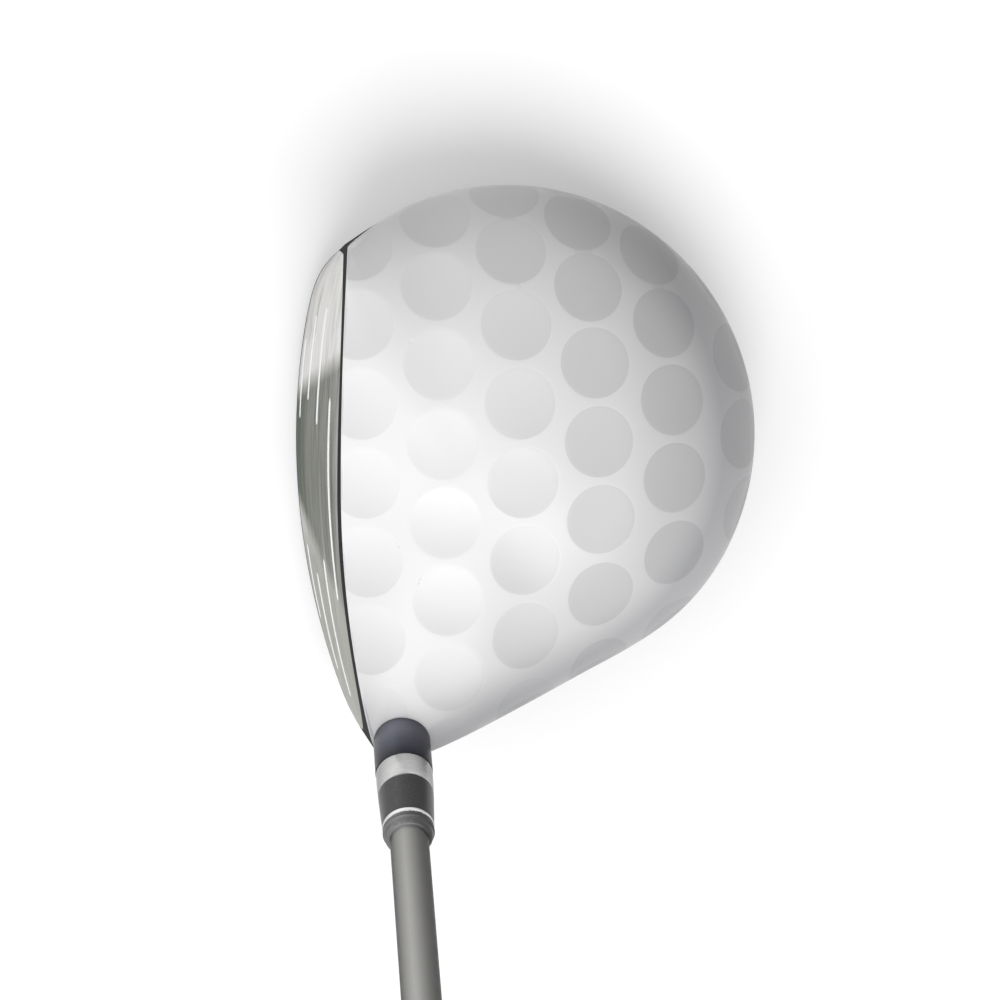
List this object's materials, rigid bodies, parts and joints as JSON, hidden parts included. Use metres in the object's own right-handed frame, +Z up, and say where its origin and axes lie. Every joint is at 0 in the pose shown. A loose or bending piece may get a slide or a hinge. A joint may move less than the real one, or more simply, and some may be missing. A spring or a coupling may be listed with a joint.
{
  "type": "golf driver",
  "caption": "Adjustable golf driver with a hollow dimpled-crown head, releasable loft sleeve, ferrule, tapered graphite shaft and rubber grip.",
  "frame": {"origin": "middle of the small flat under the sole, on which the head rests at address", "axes": "+Z up, -Y towards the target (the way the face looks), +Y to the back of the head, -X to the toe, +X to the heel and the shaft, for a right-handed player"},
  "size_m": [0.7178, 0.1086, 0.9863],
  "materials": {
    "body_titanium": "dark satin coat on cast titanium",
    "hosel_paint": "slate blue-grey gloss",
    "face_metal": "fine brushing from toe to heel",
    "crown_white": "pearl white lacquer on a dimpled composite shell",
    "glue": "cured epoxy",
    "sole_composite": "clear-coated woven carbon",
    "steel_dark": "dark plated steel",
    "weight_steel": "turned tungsten steel",
    "soft_glue": "soft hot-melt glue",
    "sleeve_silver": "satin anodised",
    "ferrule_black": "polished black",
    "ring_silver": "bright",
    "shaft_grey": "satin warm grey paint on graphite",
    "brass": "turned",
    "tape": "paper tape",
    "grip_rubber": "matte moulded pattern",
    "retainer_rubber": "matte"
  },
  "bodies": {
    "head": {"head_body": "body_titanium", "hosel_tube": "hosel_paint", "face_plate": "face_metal", "crown": "crown_white", "crown_bond": "glue", "sole_panel_toe": "sole_composite", "sole_panel_heel": "sole_composite", "weight_port": "steel_dark", "rattle_glue": "soft_glue", "screw_retainer": "retainer_rubber"},
    "shaft": {"loft_sleeve": "sleeve_silver", "ferrule_base": "ferrule_black", "ferrule_ring": "ring_silver", "ferrule_end": "ferrule_black", "shaft": "shaft_grey", "shaft_epoxy": "glue", "tip_plug": "brass", "grip_tape": "tape", "grip": "grip_rubber", "grip_cap": "grip_rubber"},
    "hosel_screw": {"hosel_screw": "steel_dark"},
    "rear_weight": {"rear_weight": "weight_steel"},
    "weight_screw": {"weight_screw": "steel_dark"}
  },
  "joints": [
    {"name": "head_release", "type": "slide", "parent": "head", "child": "shaft", "axis": [0.5299, 0, 0.848], "range_m": [0, 0.045]},
    {"name": "hosel_screw_turn", "type": "hinge", "parent": "head", "child": "hosel_screw", "pos_m": [0.04882, -0.0122, 0.02883], "axis": [0.5299, 0, 0.848], "continuous": true},
    {"name": "weight_release", "type": "slide", "parent": "head", "child": "rear_weight", "axis": [0, 0.3665, -0.9304], "range_m": [0, 0.015]},
    {"name": "weight_screw_turn", "type": "hinge", "parent": "rear_weight", "child": "weight_screw", "pos_m": [0, 0.054, 0.0059], "axis": [0, 0.3665, -0.9304], "continuous": true}
  ]
}
